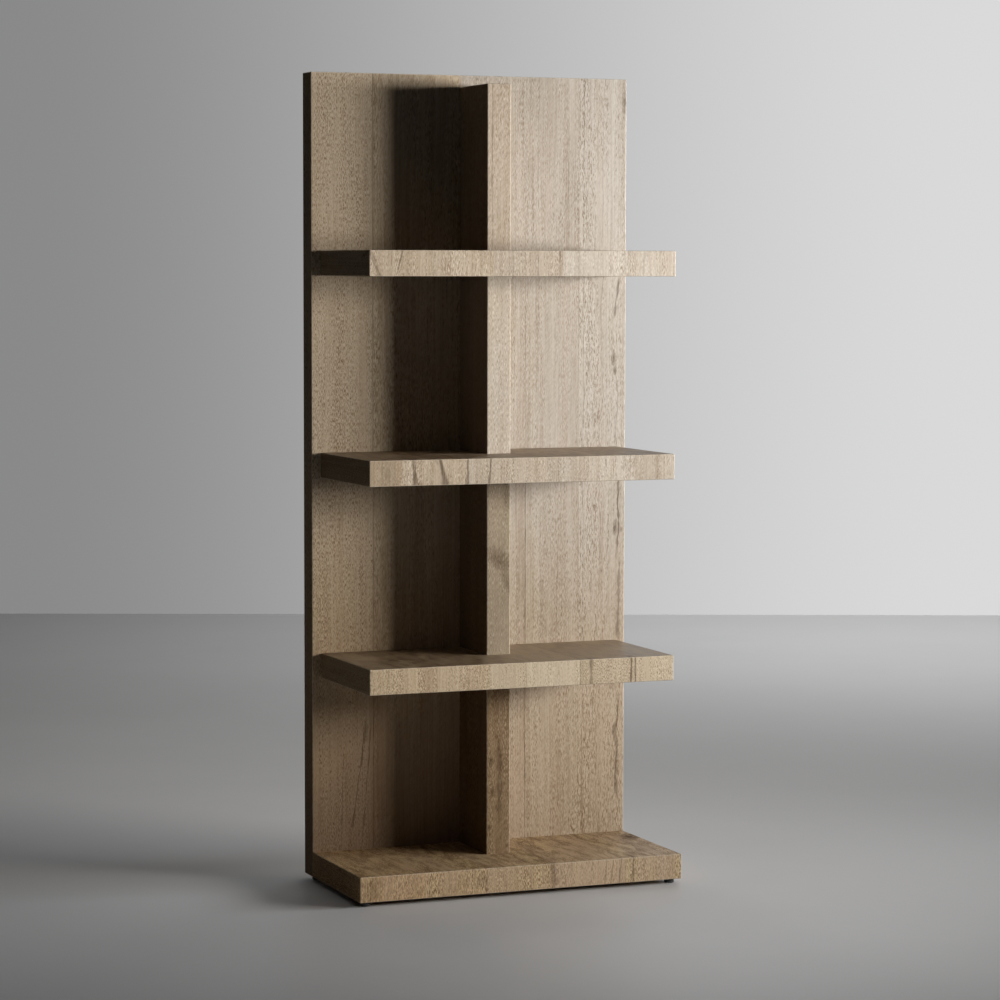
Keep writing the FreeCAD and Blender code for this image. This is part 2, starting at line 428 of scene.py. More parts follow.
# How much each layer of the grain shades, warms and raises the wood
MIDDLE = 0.5
BAND_SHADE = 0.30
FIBRE_SHADE = 0.35
PATCH_SHADE = 0.40
STIPPLE_SHADE = 0.07
STIPPLE_SHADE_BY_PORES = 0.35
BRUSHING_SHADE = 3.6
LINE_CROWDING = 0.9
LONG_PORE_DEPTH = 0.7
WARMTH_SWING = 1.6
FIBRE_HEIGHT = 0.5
STIPPLE_HEIGHT = 0.5
FIGURE_HEIGHT = 0.6
PORE_SINK = 0.8

# Veins and knots
VEIN_WANDER = 4.0
KNOT_RAGGEDNESS = 1.3
KNOT_RINGS = 11.0
KNOT_RING_DEPTH = 0.2
VEIN_VALUES = ("Across", "Along", "Lean", "Half width", "Half length", "Wander", "Depth")
KNOT_VALUES = ("Across", "Along", "Half width", "Half length", "Lean", "Depth")

# Clouds of the plain finishes
CLOUD_DETAIL = 4.0
CLOUD_ROUGHNESS = 0.6


def drawn_noise(tree, place, name):
    """One of the wood's noises, drawn out along the grain."""
    across, along, detail, roughness, stave_weight = NOISES[name]
    scaled = vector_sum(tree, "MULTIPLY", place, (across, along, stave_weight))
    noise = {"Vector": scaled, "Scale": 1.0, "Detail": detail, "Roughness": roughness}
    return put(tree, "TexNoise", noise).outputs["Fac"]


def about_zero(tree, noise):
    return sum_up(tree, "SUBTRACT", noise, MIDDLE)


def weathered_grain_group():
    """Bands, streaks, smudges and brushed pores of weathered hardwood, and how its veins and knots waver."""
    tree, take, give = new_group(
        "Weathered grain",
        {
            "Place": (0.0, 0.0, 0.0),
            "Pores": 0.5,
            "Shortness": 1.0,
            "Streaks": 0.36,
            "Figure": 0.3,
            "Mottle": 0.0,
        },
        ["Shade", "Warmth", "Pore mask", "Height", "Sway", "Swell", "Break", "Rough"],
    )
    straight = take["Place"]
    drift = about_zero(tree, drawn_noise(tree, straight, "drift"))
    ripple = about_zero(tree, drawn_noise(tree, straight, "ripple"))
    sway = sum_up(tree, "MULTIPLY", drift, DRIFT_SWAY)
    sway = sum_up(tree, "MULTIPLY_ADD", ripple, RIPPLE_SWAY, sway)
    place = vector_sum(tree, "ADD", straight, put(tree, "CombineXYZ", {"X": sway}).outputs[0])

    bands = drawn_noise(tree, place, "bands")
    fibres = drawn_noise(tree, place, "fibres")
    patches = drawn_noise(tree, place, "patches")
    stipple = drawn_noise(tree, place, "stipple")
    layers = [
        (bands, BAND_SHADE),
        (drawn_noise(tree, place, "streaks"), take["Streaks"]),
        (fibres, FIBRE_SHADE),
        (patches, PATCH_SHADE),
        (stipple, sum_up(tree, "MULTIPLY_ADD", take["Pores"], STIPPLE_SHADE_BY_PORES, STIPPLE_SHADE)),
        (drawn_noise(tree, place, "smudges"), take["Mottle"]),
    ]
    shade = MIDDLE
    for layer, strength in layers:
        shade = sum_up(tree, "MULTIPLY_ADD", about_zero(tree, layer), strength, shade)

    crowding = about_zero(tree, drawn_noise(tree, place, "crowding"))
    lines = sum_up(tree, "MULTIPLY_ADD", crowding, LINE_CROWDING, drawn_noise(tree, place, "lines"))
    rows = ease(tree, lines, *MASKS["rows"])
    shorter = put(tree, "CombineXYZ", {"X": 1.0, "Y": take["Shortness"], "Z": 1.0}).outputs[0]
    dashes = drawn_noise(tree, vector_sum(tree, "MULTIPLY", place, shorter), "dashes")
    combing = ease(tree, drawn_noise(tree, place, "combing"), *MASKS["combing"])
    brushing = about_zero(tree, dashes)
    for strength in (take["Pores"], rows, combing, BRUSHING_SHADE):
        brushing = sum_up(tree, "MULTIPLY", brushing, strength)
    shade = sum_up(tree, "SUBTRACT", shade, brushing)
    diagonal = put(tree, "VectorRotate", {"Vector": place, "Angle": CURL_ANGLE}, rotation_type="Z_AXIS")
    curl = about_zero(tree, drawn_noise(tree, diagonal.outputs[0], "curl"))
    figure = sum_up(tree, "MULTIPLY", curl, take["Figure"])
    feed(tree, give["Shade"], sum_up(tree, "ADD", shade, figure))
    warmth = sum_up(tree, "SUBTRACT", patches, bands)
    feed(tree, give["Warmth"], sum_up(tree, "MULTIPLY_ADD", warmth, WARMTH_SWING, MIDDLE))

    long_pores = drawn_noise(tree, place, "long pores")
    pores = sum_up(tree, "MULTIPLY", ease(tree, long_pores, *MASKS["long pores"]), LONG_PORE_DEPTH)
    pores = sum_up(tree, "MAXIMUM", pores, ease(tree, dashes, *MASKS["pores"]))
    for strength in (rows, take["Pores"]):
        pores = sum_up(tree, "MULTIPLY", pores, strength)
    feed(tree, give["Pore mask"], pores)

    height = sum_up(tree, "MULTIPLY", fibres, FIBRE_HEIGHT)
    for layer, rise in ((stipple, STIPPLE_HEIGHT), (figure, FIGURE_HEIGHT), (pores, -PORE_SINK)):
        height = sum_up(tree, "MULTIPLY_ADD", layer, rise, height)
    feed(tree, give["Height"], height)

    wander = about_zero(tree, drawn_noise(tree, straight, "wander"))
    feed(tree, give["Sway"], sum_up(tree, "MULTIPLY", wander, VEIN_WANDER))
    feed(tree, give["Swell"], ease(tree, drawn_noise(tree, straight, "swell"), *MASKS["swell"]))
    feed(tree, give["Break"], ease(tree, long_pores, *MASKS["breaks"]))
    ragged = about_zero(tree, drawn_noise(tree, straight, "ragged edges"))
    feed(tree, give["Rough"], sum_up(tree, "MULTIPLY", ragged, KNOT_RAGGEDNESS))
    return tree


def dark_vein_group():
    """A dark line that wanders along the grain, swells and thins, and fades at its ends."""
    tree, take, give = new_group(
        "Dark vein",
        {
            "Place": (0.0, 0.0, 0.0),
            "Sway": 0.0,
            "Swell": 1.0,
            "Break": 1.0,
            "Across": 0.0,
            "Along": 0.0,
            "Lean": 0.0,
            "Half width": 0.002,
            "Half length": 0.1,
            "Wander": 0.003,
            "Depth": 0.5,
        },
        ["Mask"],
    )
    parts = put(tree, "SeparateXYZ", {"Vector": take["Place"]}).outputs
    reach = sum_up(tree, "SUBTRACT", parts["Y"], take["Along"])
    centre = sum_up(tree, "MULTIPLY_ADD", reach, take["Lean"], take["Across"])
    centre = sum_up(tree, "MULTIPLY_ADD", take["Sway"], take["Wander"], centre)
    offset = sum_up(tree, "ABSOLUTE", sum_up(tree, "SUBTRACT", parts["X"], centre))
    width = sum_up(tree, "MULTIPLY", take["Swell"], take["Half width"])
    body = ease(tree, sum_up(tree, "DIVIDE", offset, width), *MASKS["vein sides"])
    ends = sum_up(tree, "DIVIDE", sum_up(tree, "ABSOLUTE", reach), take["Half length"])
    for strength in (ease(tree, ends, *MASKS["vein ends"]), take["Break"], take["Depth"]):
        body = sum_up(tree, "MULTIPLY", body, strength)
    feed(tree, give["Mask"], body)
    return tree


def knot_group():
    """A dark knot with rings, drawn out along the grain."""
    tree, take, give = new_group(
        "Knot",
        {
            "Place": (0.0, 0.0, 0.0),
            "Rough": 0.0,
            "Across": 0.0,
            "Along": 0.0,
            "Half width": 0.006,
            "Half length": 0.02,
            "Lean": 0.0,
            "Depth": 0.6,
        },
        ["Mask"],
    )
    parts = put(tree, "SeparateXYZ", {"Vector": take["Place"]}).outputs
    reach = sum_up(tree, "SUBTRACT", parts["Y"], take["Along"])
    centre = sum_up(tree, "MULTIPLY_ADD", reach, take["Lean"], take["Across"])
    offset = sum_up(tree, "SUBTRACT", parts["X"], centre)
    offset = sum_up(tree, "DIVIDE", offset, take["Half width"])
    reach = sum_up(tree, "DIVIDE", reach, take["Half length"])
    far = sum_up(tree, "MULTIPLY_ADD", offset, offset, sum_up(tree, "MULTIPLY", reach, reach))
    far = sum_up(tree, "ADD", sum_up(tree, "SQRT", far), take["Rough"])
    rings = sum_up(tree, "SINE", sum_up(tree, "MULTIPLY", far, KNOT_RINGS))
    rings = sum_up(tree, "MULTIPLY_ADD", rings, KNOT_RING_DEPTH, 1 - KNOT_RING_DEPTH)
    body = sum_up(tree, "MULTIPLY", ease(tree, far, *MASKS["knot"]), rings)
    feed(tree, give["Mask"], sum_up(tree, "MULTIPLY", body, take["Depth"]))
    return tree


def worn_and_highlit_arris_group():
    """Uneven worn patches along the arrises, pale partly from use and partly as a painted highlight on the
    edges.
    """
    tree, take, give = new_group("Worn arris", {"Place": (0.0, 0.0, 0.0), "Arris": 0.0}, ["Mask"])
    rubbing_and_highlight = ease(tree, drawn_noise(tree, take["Place"], "rubbing_and_highlight"), *MASKS["rubbing_and_highlight"])
    feed(tree, give["Mask"], sum_up(tree, "MULTIPLY", take["Arris"], rubbing_and_highlight))
    return tree


def mottle_group():
    """Cloudy mottling of a plain finish."""
    tree, take, give = new_group("Mottle", {"Place": (0.0, 0.0, 0.0), "Scale": 1.0}, ["Cloud"])
    scales = {"Scale": take["Scale"], "Detail": CLOUD_DETAIL, "Roughness": CLOUD_ROUGHNESS}
    feed(tree, give["Cloud"], put(tree, "TexNoise", {"Vector": take["Place"], **scales}).outputs["Fac"])
    return tree


GRAIN = weathered_grain_group()
VEIN = dark_vein_group()
KNOT = knot_group()
WEAR_AND_HIGHLIGHT = worn_and_highlit_arris_group()
MOTTLE = mottle_group()


def colour(red, green, blue):
    """A colour from the 0 to 255 scale of a paint card."""

    def linear(part):
        part /= 255
        return part / 12.92 if part <= 0.04045 else ((part + 0.055) / 1.055) ** 2.4

    return (linear(red), linear(green), linear(blue), 1.0)


# Wood colours, each as pale, middle and deep, and the shades of the pale and deep ones
GREYED = (colour(230, 222, 210), colour(199, 187, 171), colour(145, 125, 104))
PLAIN = (colour(212, 200, 189), colour(181, 166, 151), colour(134, 111, 91))
STRAW = (colour(232, 217, 192), colour(207, 189, 161), colour(146, 121, 94))
TAWNY = (colour(226, 205, 172), colour(195, 173, 140), colour(126, 100, 70))
BROWNED = (colour(200, 180, 150), colour(166, 142, 111), colour(110, 84, 57))
MOSSY = (colour(206, 196, 176), colour(168, 153, 130), colour(120, 106, 86))
PALE_SHADE = 0.95
DEEP_SHADE = 0.05

# Colours that lie over the wood
WARM = colour(192, 168, 150)
YELLOWED = colour(196, 180, 146)
PORE = colour(92, 72, 52)
VEIN_BROWN = colour(84, 64, 46)
# Pale arrises: partly worn wood, partly a painted highlight along the edges
WORN_AND_HIGHLIGHT = colour(226, 214, 194)

# Tints, which multiply the wood's colour
UNTINTED = (1.0, 1.0, 1.0, 1.0)
# Painted shade: a warmer cast for wood that lies in shade
SHADE_WARMTH_TINT = (1.06, 0.97, 0.83, 1.0)
# Painted shade: a darker tint low on the shade-warm staves, in place of a shelf's shadow
LOW_PAINTED_SHADE_TINT = (0.54, 0.52, 0.55, 1.0)
HEAD_TINT = (0.885, 0.935, 0.955, 1.0)
FOOT_TINT = (0.955, 0.895, 0.76, 1.0)
# Painted shade: a darker stain for the ends, cheeks and undersides, in place of the shade they lie in
PAINTED_SHADE_STAIN = (0.60, 0.54, 0.46, 1.0)

# The panel's foot: how strong its pores are, and the heights in metres between which it changes
FOOT_PORES = 2.5
FOOT_PORES_FADE = (0.15, 0.75)
SHADE_WARM_FOOT_PORES = 0.4
SHADE_WARM_FOOT_PORES_FADE = (0.3, 0.75)
LOW_PAINTED_SHADE_FADE = (0.1, 0.75)

# Surface of the wood
JOINT_DARKNESS = 0.2
PORE_ROUGHNESS = 0.2
DARK_ROUGHNESS = 0.5
DARK_SINK = 0.5
WOOD_BUMP = 0.35
WOOD_BUMP_DEPTH = 0.0006


def grey(level):
    return (level, level, level, 1.0)


def spread_across(tree, across, amounts):
    """One amount, or one that changes across a board, from (place, amount) pairs."""
    if isinstance(amounts, float):
        return amounts
    first, last = amounts[0][0], amounts[-1][0]
    share = put(tree, "MapRange", {"Value": across, "From Min": first, "From Max": last}).outputs["Result"]
    ramp = put(tree, "ValToRGB", {"Fac": share})
    stops = ramp.color_ramp.elements
    stops[0].color = grey(amounts[0][1])
    stops[1].color = grey(amounts[-1][1])
    for place, amount in amounts[1:-1]:
        stops.new((place - first) / (last - first)).color = grey(amount)
    return ramp.outputs[0]


def wood_colour(tree, shade, warmth, colours, warm):
    """The wood's colour from pale to deep, with warm and yellowed patches."""
    pale, middle, deep = colours
    ramp = put(tree, "ValToRGB", {"Fac": shade})
    stops = ramp.color_ramp.elements
    stops[0].position = DEEP_SHADE
    stops[0].color = deep
    stops[1].position = PALE_SHADE
    stops[1].color = pale
    stops.new(MIDDLE).color = middle
    skin = ramp.outputs[0]
    for patches, tint in (("warm patches", WARM), ("yellowed patches", YELLOWED)):
        strength = sum_up(tree, "MULTIPLY", ease(tree, warmth, *MASKS[patches]), warm)
        skin = mix(tree, strength, skin, tint)
    return skin


def foot_pores(tree, height, shade_warmth):
    """How much stronger the pores are low on the panel, and how much weaker on its staves marked with
    painted shade warmth.
    """
    plain = ease(tree, height, *FOOT_PORES_FADE, FOOT_PORES, 1.0)
    shade_warm_pores = ease(tree, height, *SHADE_WARM_FOOT_PORES_FADE, SHADE_WARM_FOOT_PORES, 1.0)
    return ease(tree, shade_warmth, 0.0, 1.0, plain, shade_warm_pores)


def foot_colour(tree, skin, height, shade_warmth, foot_to_head):
    """The panel's colour, warmer at its foot and greyer at its head, with painted shade darkening the feet
    of its shade-warm staves.
    """
    skin = tinted(tree, skin, mix(tree, ease(tree, height, *foot_to_head), FOOT_TINT, HEAD_TINT))
    # Painted shade: the foot of the shade-warm staves darkened
    low_painted_shade = sum_up(tree, "MULTIPLY", ease(tree, height, *LOW_PAINTED_SHADE_FADE, 1.0, 0.0), shade_warmth)
    return mix(tree, low_painted_shade, skin, tinted(tree, skin, LOW_PAINTED_SHADE_TINT))


def dark_marks(tree, place, grain, veins, knots):
    """The glue joints, veins and knots of a board, as one mask."""
    dark = sum_up(tree, "MULTIPLY", mark(tree, "joint"), JOINT_DARKNESS)
    wavering = {name: grain[name] for name in ("Sway", "Swell", "Break")}
    drawn = [(VEIN, {**wavering, **dict(zip(VEIN_VALUES, vein))}) for vein in veins]
    drawn += [(KNOT, {"Rough": grain["Rough"], **dict(zip(KNOT_VALUES, knot))}) for knot in knots]
    for group, values in drawn:
        mask = use_group(tree, group, {"Place": place, **values})["Mask"]
        dark = sum_up(tree, "MAXIMUM", dark, mask)
    return dark


def weathered_wood(
    name,
    colours=PLAIN,
    tone=0.0,
    warm=0.2,
    pores=0.45,
    short=1.0,
    streaks=0.36,
    figure=0.3,
    mottle=0.0,
    pits=0.08,
    veins=(),
    knots=(),
    foot_to_head=(),
    painted_shade=None,
    sheen=0.06,
    roughness=0.62,
    dulling=0.12,
):
    """Wire-brushed hardwood in pale, middle and deep colours, which a tone lightens.

    Warm is the strength of its warm and yellowed patches. Pores is the strength of its brushed dashes and
    short is how short they are, each one amount or (place, amount) pairs across the board. Streaks, figure
    and mottle are the strengths of its long streaks, its curl and its smudges, and pits is how dark its
    open pores are. A vein holds what VEIN_VALUES names, and a knot what KNOT_VALUES names. Foot to head
    gives the heights between which the panel turns from warmer to greyer. Painted shade is a darker tint
    that stands in for shade, sheen is how strongly it shines, and dulling makes its pale parts rougher.
    """
    material, tree, wood = new_material(name)
    spot = put(tree, "SeparateXYZ", {"Vector": put(tree, "UVMap", uv_map="Grain").outputs[0]}).outputs
    across, along = spot["X"], spot["Y"]
    place = put(tree, "CombineXYZ", {"X": across, "Y": along, "Z": mark(tree, "stave")}).outputs[0]
    shade_warmth = mark(tree, "shade_warmth")
    pores = spread_across(tree, across, pores)
    short = spread_across(tree, across, short)
    if foot_to_head:
        pores = sum_up(tree, "MULTIPLY", pores, foot_pores(tree, along, shade_warmth))
    brushing = {"Pores": pores, "Shortness": short, "Streaks": streaks, "Figure": figure, "Mottle": mottle}
    grain = use_group(tree, GRAIN, {"Place": place, **brushing})

    shade = sum_up(tree, "ADD", grain["Shade"], sum_up(tree, "ADD", mark(tree, "tone"), tone))
    skin = wood_colour(tree, shade, grain["Warmth"], colours, warm)
    # Painted shade: warmer where the board is marked as lying in shade
    skin = tinted(tree, skin, mix(tree, shade_warmth, UNTINTED, SHADE_WARMTH_TINT))
    if foot_to_head:
        skin = foot_colour(tree, skin, along, shade_warmth, foot_to_head)
    # Painted shade: a darker tint that stands in for the shade on tops, ends, cheeks and undersides
    if painted_shade:
        skin = tinted(tree, skin, painted_shade)
    skin = mix(tree, sum_up(tree, "MULTIPLY", grain["Pore mask"], pits), skin, PORE)
    dark = dark_marks(tree, place, grain, veins, knots)
    skin = mix(tree, dark, skin, VEIN_BROWN)
    # Pale arrises: worn wood and painted highlight
    wear_and_highlight = use_group(tree, WEAR_AND_HIGHLIGHT, {"Place": place, "Arris": mark(tree, "arris")})["Mask"]
    feed(tree, wood.inputs["Base Color"], mix(tree, wear_and_highlight, skin, WORN_AND_HIGHLIGHT))

    rough = sum_up(tree, "MULTIPLY_ADD", grain["Pore mask"], PORE_ROUGHNESS, roughness)
    rough = sum_up(tree, "MULTIPLY_ADD", dark, DARK_ROUGHNESS, rough)
    rough = sum_up(tree, "MULTIPLY_ADD", grain["Shade"], dulling, rough)
    feed(tree, wood.inputs["Roughness"], rough)
    height = sum_up(tree, "MULTIPLY_ADD", dark, -DARK_SINK, grain["Height"])
    bump = put(tree, "Bump", {"Height": height, "Strength": WOOD_BUMP, "Distance": WOOD_BUMP_DEPTH})
    feed(tree, wood.inputs["Normal"], bump.outputs[0])
    wood.inputs["Specular IOR Level"].default_value = sheen
    return material


# Boards that get the copy of a member's wood darkened with painted shade
PAINTED_SHADE_BOARDS = ("left_lipping", "right_lipping", "left_cheek", "right_cheek", "underside_skin")
TOP_FIGURE = dict(streaks=1.2, figure=0.4, mottle=3.0)


def member_woods(name, top_painted_shade=None, top_sheen=0.32, top_roughness=0.42, top_dulling=0.12, **look):
    """The woods of a member: its face, a copy darkened with painted shade for ends, cheeks and underside,
    and a sleek one for its top, also darkened with painted shade.
    """
    woods = {"face": weathered_wood(name + " wood", **look)}
    painted_shade_wood = weathered_wood(name + " shaded wood", painted_shade=PAINTED_SHADE_STAIN, **look)
    woods.update({board: painted_shade_wood for board in PAINTED_SHADE_BOARDS})
    # Painted shade: the top gets a darker copy of the wood, standing in for the light only grazing it
    if top_painted_shade:
        woods["top_skin"] = weathered_wood(
            name + " top wood",
            painted_shade=top_painted_shade,
            sheen=top_sheen,
            roughness=top_roughness - top_dulling * MIDDLE,
            dulling=top_dulling,
            **{**look, **TOP_FIGURE},
        )
    return woods


# Woods of the members

panel_wood = member_woods(
    "panel",
    tone=0.08,
    short=[(-0.432, 1.2), (-0.2685, 1.2), (-0.2675, 1.0), (0.432, 1.0)],
    streaks=0.75,
    foot_to_head=(0.2, 1.2),
    pores=[
        (-0.432, 1.30),
        (-0.29, 1.25),
        (-0.25, 0.45),
        (-0.1, 0.35),
        (0.14, 0.30),
        (0.28, 0.30),
        (0.3, 0.68),
        (0.35, 0.68),
        (0.365, 0.36),
        (0.432, 0.36),
    ],
    veins=[
        (-0.268, 1.0, 0.0, 0.0012, 2.0, 0.0, 0.55),
        (-0.309, 0.25, 0.13, 0.0030, 0.19, 0.004, 0.65),
        (-0.287, 0.24, 0.07, 0.0024, 0.19, 0.004, 0.55),
        (-0.352, 0.20, 0.02, 0.0024, 0.16, 0.003, 0.40),
        (0.150, 0.45, 0.0, 0.0016, 0.75, 0.0006, 0.55),
        (0.360, 1.1, 0.008, 0.0013, 1.6, 0.008, 0.28),
        (0.312, 1.0, 0.0, 0.0016, 1.6, 0.003, 0.35),
        (0.267, 1.82, 0.0, 0.0013, 0.13, 0.002, 0.35),
        (0.406, 1.480, 0.10, 0.0034, 0.060, 0.004, 0.65),
        (0.404, 1.20, -0.05, 0.0020, 0.14, 0.008, 0.35),
        (0.412, 0.93, 0.04, 0.0036, 0.14, 0.009, 0.65),
        (0.414, 0.66, 0.0, 0.0052, 0.16, 0.006, 0.50),
        (0.412, 0.30, 0.0, 0.0052, 0.16, 0.009, 0.60),
    ],
    knots=[
        (-0.290, 0.375, 0.008, 0.035, 0.1, 0.55),
        (0.398, 1.321, 0.008, 0.030, 0.0, 0.60),
        (0.401, 1.290, 0.006, 0.016, 0.0, 0.65),
        (0.404, 0.879, 0.008, 0.026, 0.1, 0.75),
        (0.422, 0.874, 0.005, 0.010, 0.0, 0.60),
        (0.404, 0.344, 0.006, 0.022, 0.0, 0.65),
        (0.428, 1.985, 0.012, 0.032, 0.0, 0.55),
    ],
)
upper_shelf_wood = member_woods(
    "upper shelf",
    top_painted_shade=(0.55, 0.49, 0.42, 1.0),
    colours=GREYED,
    warm=0.12,
    pores=0.38,
    short=1.2,
    streaks=0.7,
    figure=0.15,
    pits=0.0,
    veins=[
        (-0.392, -0.243, -0.39, 0.0090, 0.10, 0.002, 0.45),
        (-0.326, -0.235, 0.26, 0.0026, 0.04, 0.001, 0.60),
        (-0.033, -0.240, 0.0, 0.0042, 0.30, 0.003, 0.34),
        (0.034, -0.240, 0.0, 0.0045, 0.30, 0.002, 0.42),
        (0.092, -0.240, 0.0, 0.0022, 0.30, 0.001, 0.55),
        (0.320, -0.245, 0.10, 0.0040, 0.04, 0.003, 0.30),
    ],
)
middle_shelf_wood = member_woods(
    "middle shelf",
    top_painted_shade=(0.48, 0.41, 0.33, 1.0),
    top_sheen=0.28,
    colours=GREYED,
    warm=0.15,
    pores=0.36,
    short=1.5,
    streaks=0.6,
    figure=0.15,
    pits=0.0,
    veins=[
        (-0.290, -0.243, -0.10, 0.0085, 0.10, 0.002, 0.85),
        (-0.216, -0.243, -0.24, 0.0095, 0.10, 0.002, 0.75),
        (-0.238, -0.200, -0.30, 0.0080, 0.03, 0.001, 0.40),
        (-0.152, -0.243, 0.03, 0.0050, 0.10, 0.002, 0.60),
        (-0.092, -0.243, 0.12, 0.0032, 0.10, 0.003, 0.65),
        (0.218, -0.230, -0.1, 0.0016, 0.012, 0.001, 0.75),
    ],
    knots=[(-0.360, -0.243, 0.030, 0.060, 0.0, 0.30)],
)
lower_shelf_wood = member_woods(
    "lower shelf",
    top_painted_shade=(0.40, 0.345, 0.28, 1.0),
    top_sheen=0.72,
    colours=STRAW,
    pores=0.54,
    short=2.0,
    streaks=0.6,
    figure=0.1,
    pits=0.0,
    veins=[
        (0.150, -0.245, 0.0, 0.0022, 0.08, 0.0, 0.45),
        (0.180, -0.245, 0.0, 0.0044, 0.08, 0.001, 0.75),
        (0.289, -0.245, 0.02, 0.0034, 0.08, 0.001, 0.70),
        (0.301, -0.245, 0.0, 0.0034, 0.08, 0.001, 0.70),
    ],
)
base_wood = member_woods(
    "base",
    top_painted_shade=(0.79, 0.745, 0.65, 1.0),
    top_roughness=0.52,
    top_dulling=-0.15,
    colours=TAWNY,
    warm=0.5,
    pores=1.2,
    short=1.3,
    streaks=0.9,
    figure=0.2,
    pits=0.0,
    veins=[
        (0.080, -0.22, 0.0, 0.0060, 0.20, 0.003, 0.40),
        (0.299, -0.25, 0.03, 0.0030, 0.10, 0.003, 0.60),
        (0.262, -0.22, 0.06, 0.0026, 0.12, 0.004, 0.50),
        (0.240, -0.22, 0.08, 0.0022, 0.12, 0.004, 0.45),
        (0.222, -0.22, 0.05, 0.0030, 0.12, 0.004, 0.35),
    ],
    knots=[
        (-0.400, -0.245, 0.030, 0.040, 0.2, 0.35),
        (-0.110, -0.240, 0.020, 0.030, 0.0, 0.35),
        (0.408, 0.054, 0.030, 0.060, 0.2, 1.0),
        (0.414, 0.060, 0.014, 0.030, 0.2, 1.0),
    ],
)
spine_woods = [
    member_woods(
        "lowest post",
        colours=BROWNED,
        tone=-0.22,
        veins=[(0.003, 0.27, 0.0, 0.0080, 0.13, 0.006, 0.60)],
        knots=[
            (-0.019, 0.310, 0.009, 0.020, 0.0, 0.70),
            (-0.016, 0.234, 0.008, 0.018, 0.0, 0.70),
            (-0.024, 0.144, 0.006, 0.010, 0.0, 0.70),
        ],
    ),
    member_woods(
        "second post",
        colours=MOSSY,
        tone=-0.12,
        knots=[
            (0.000, 0.825, 0.034, 0.040, -0.5, 0.65),
            (0.022, 0.770, 0.016, 0.060, -0.3, 0.40),
            (0.020, 0.985, 0.012, 0.060, 0.0, 0.35),
        ],
    ),
    member_woods("third post", colours=GREYED, pores=0.28),
    member_woods(
        "top post",
        colours=GREYED,
        tone=-0.08,
        pores=0.35,
        veins=[(-0.018, 1.85, 0.0, 0.0020, 0.40, 0.002, 0.40)],
    ),
]


# Boards of each kind of member: the side that a board lies on, and the sides along which it is mitred

SHELF_BOARDS = {
    "top_skin": ("top", ["left", "right", "front"]),
    "underside_skin": ("bottom", ["left", "right", "front"]),
    "front_lipping": ("front", ["left", "right", "bottom", "top"]),
    "left_lipping": ("left", ["front", "bottom", "top"]),
    "right_lipping": ("right", ["front", "bottom", "top"]),
}
PANEL_BOARDS = {
    "front_skin": ("front", ["left", "right", "bottom", "top"]),
    "rear_skin": ("rear", ["left", "right", "bottom", "top"]),
    "left_lipping": ("left", ["front", "rear", "bottom", "top"]),
    "right_lipping": ("right", ["front", "rear", "bottom", "top"]),
    "bottom_lipping": ("bottom", ["left", "right", "front", "rear"]),
    "top_lipping": ("top", ["left", "right", "front", "rear"]),
}
POST_BOARDS = {
    "left_cheek": ("left", ["front"]),
    "right_cheek": ("right", ["front"]),
    "front_lipping": ("front", ["left", "right"]),
}
CAP = ("cap", "top", ["left", "right", "front"])
GRAIN_NAMES = {"left_cheek": "left_lipping", "right_cheek": "right_lipping", "cap": "top_lipping"}

# Members: the joints between their staves, and the staves' tones and painted shade warmths, from left to
# right

PANEL = dict(
    wood=panel_wood,
    joints=[-0.268, -0.030, 0.150, 0.300],
    tones=[0.08, -0.04, 0.0, 0.02, 0.10],
    shade_warmths=[1.0, 1.0, 0.0, 0.0, 0.0],
    seed=81.0,
    grain=panel_grain,
    exposed=list(SIDES),
)
SHELVES = {
    "base": dict(
        wood=base_wood,
        joints=[-0.262, -0.098, 0.078, 0.275],
        tones=[-0.10, -0.04, -0.08, 0.03, 0.0],
        shade_warmths=[0.9, 0.6, 0.4, 0.3, 0.2],
        seed=3.0,
    ),
    "lower_shelf": dict(
        wood=lower_shelf_wood,
        joints=[-0.232, -0.092, 0.005, 0.150, 0.296],
        tones=[-0.10, -0.08, 0.02, 0.16, -0.04, 0.10],
        shade_warmths=[0.4, 0.3, 0.1, 0.0, 0.0, 0.0],
        seed=24.0,
    ),
    "middle_shelf": dict(
        wood=middle_shelf_wood,
        joints=[-0.322, -0.150, 0.060, 0.238],
        tones=[-0.14, -0.08, -0.03, 0.0, -0.05],
        shade_warmths=[0.8, 0.6, 0.3, 0.1, 0.0],
        seed=41.0,
    ),
    "upper_shelf": dict(
        wood=upper_shelf_wood,
        joints=[-0.245, -0.082, 0.100, 0.362],
        tones=[-0.09, -0.10, -0.03, 0.06, -0.02],
        shade_warmths=[0.6, 0.5, 0.2, 0.0, 0.0],
        seed=61.0,
    ),
}
OPEN_SHELF = ["top", "bottom", "front", "left", "right"]
POSTS = ["spine_1", "spine_2", "spine_3", "spine_4"]
POST_SHADE_WARMTHS = [0.0, 0.0, 0.0, 0.2]
POST_SEED = 101.0
POST_SEED_STEP = 9.0
OPEN_POST = ["left", "right", "front"]


def box_round(node_names):
    boxes = [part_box(node) for node in node_names]
    low = Vector([min(box[0][axis] for box in boxes) for axis in range(3)])
    high = Vector([max(box[1][axis] for box in boxes) for axis in range(3)])
    return low, high


def make_member(boards, exposed, joints):
    """Models a hollow member once as an eased block, then saws each of its boards from a copy."""
    box = box_round(boards)
    whole = block("whole", box)
    ease_arrises(whole, box, exposed)
    score_joints(whole, box, joints, exposed)
    pieces = {}
    for node, (board, side, mitred_sides) in boards.items():
        pieces[board] = mitred_board(node + "_board", whole, box, side, mitred_sides)
    bpy.data.objects.remove(whole)
    return box, pieces


